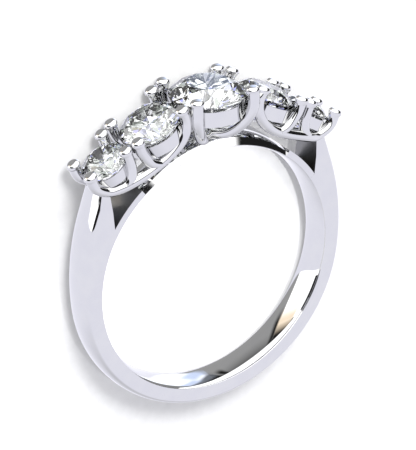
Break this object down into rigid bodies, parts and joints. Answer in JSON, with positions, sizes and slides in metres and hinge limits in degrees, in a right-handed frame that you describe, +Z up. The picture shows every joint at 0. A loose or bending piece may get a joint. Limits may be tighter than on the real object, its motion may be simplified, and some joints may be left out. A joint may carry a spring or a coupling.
{
  "type": "diamond ring",
  "caption": "White metal ring with a row of graduated round diamonds in claw settings, a bridge under the row and open shoulders.",
  "frame": {"origin": "middle of the space that the lying ring takes up, on the floor", "axes": "+X along the row of stones, +Y from the band towards the middle stone, +Z up, along the finger but for the small lean at which the ring rests"},
  "size_m": [0.02, 0.023, 0.0051],
  "materials": {
    "white_gold": "highly polished white gold, rhodium plated",
    "diamond": "polished, colourless, brilliant cut"
  },
  "bodies": {
    "root": {"ring_mounting": "white_gold", "centre_diamond": "diamond", "left_inner_diamond": "diamond", "right_inner_diamond": "diamond", "left_outer_diamond": "diamond", "right_outer_diamond": "diamond"}
  },
  "joints": []
}
